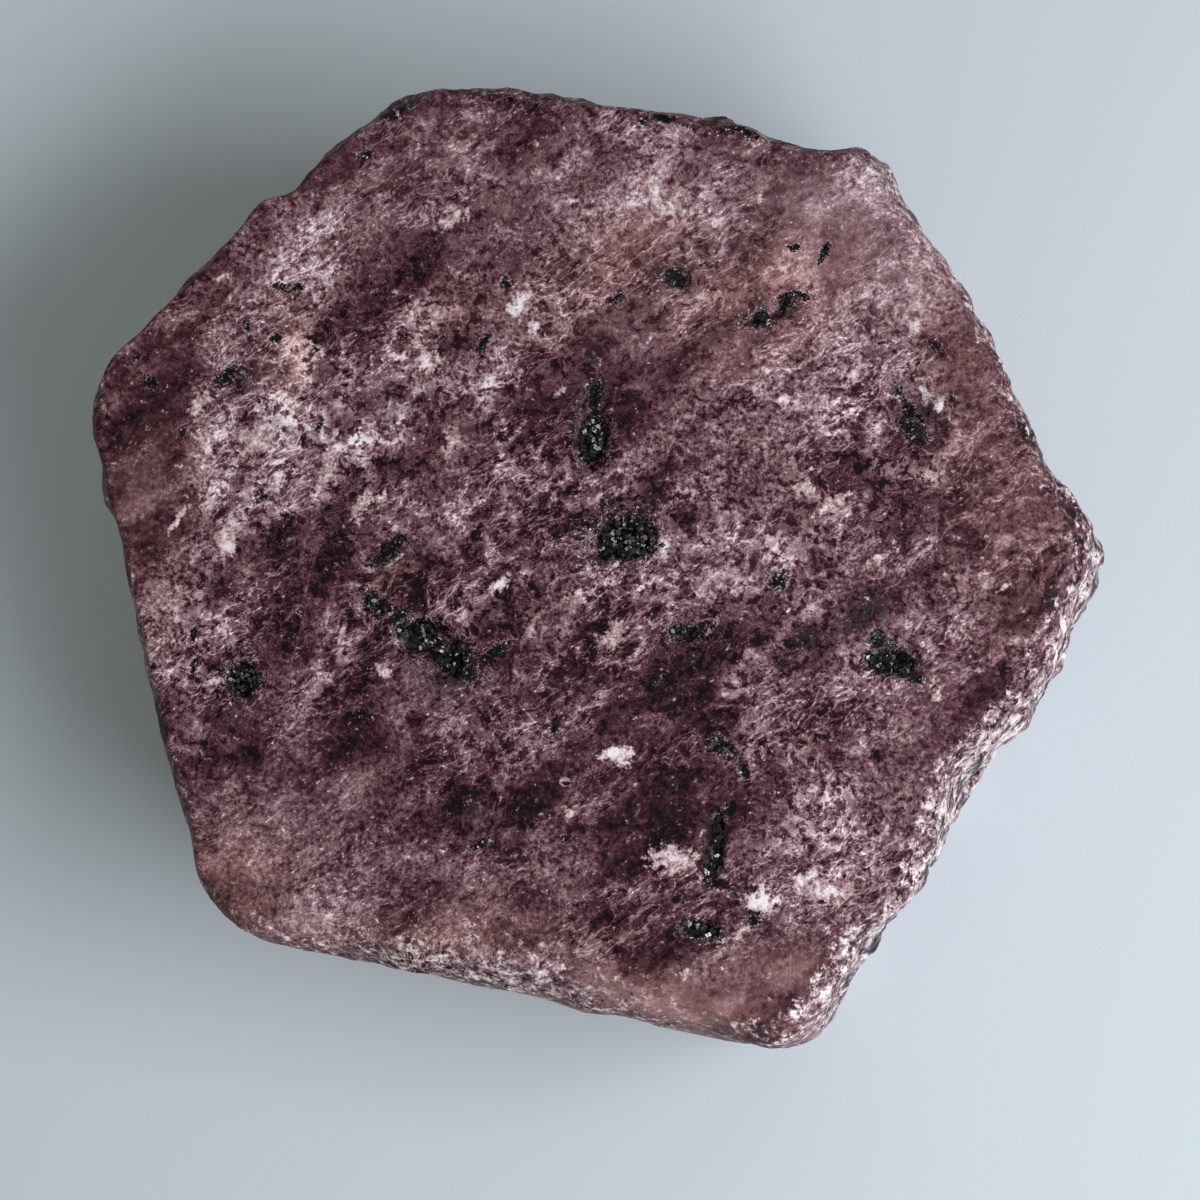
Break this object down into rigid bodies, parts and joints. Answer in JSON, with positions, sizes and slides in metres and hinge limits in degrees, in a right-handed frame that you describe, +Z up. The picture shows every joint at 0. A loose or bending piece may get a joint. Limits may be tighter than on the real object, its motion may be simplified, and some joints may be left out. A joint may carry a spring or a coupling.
{
  "type": "ruby crystal",
  "caption": "Raw six-sided ruby crystal, a thick slab with flat sawn faces and rough natural sides, shallow mica pits in the top, resting flat.",
  "frame": {"origin": "middle of the crystal's box on the surface it rests on, in the plane of the lower sawn face", "axes": "+Z up through both sawn faces, +X towards the corner that points right when the top face is seen with +Y up the page"},
  "size_m": [0.0545, 0.0526, 0.018],
  "materials": {
    "raw_ruby": "sawn and matt, mauve red with paler veins, black mica and a pale crust on the sides"
  },
  "bodies": {
    "root": {"ruby_crystal": "raw_ruby"}
  },
  "joints": []
}
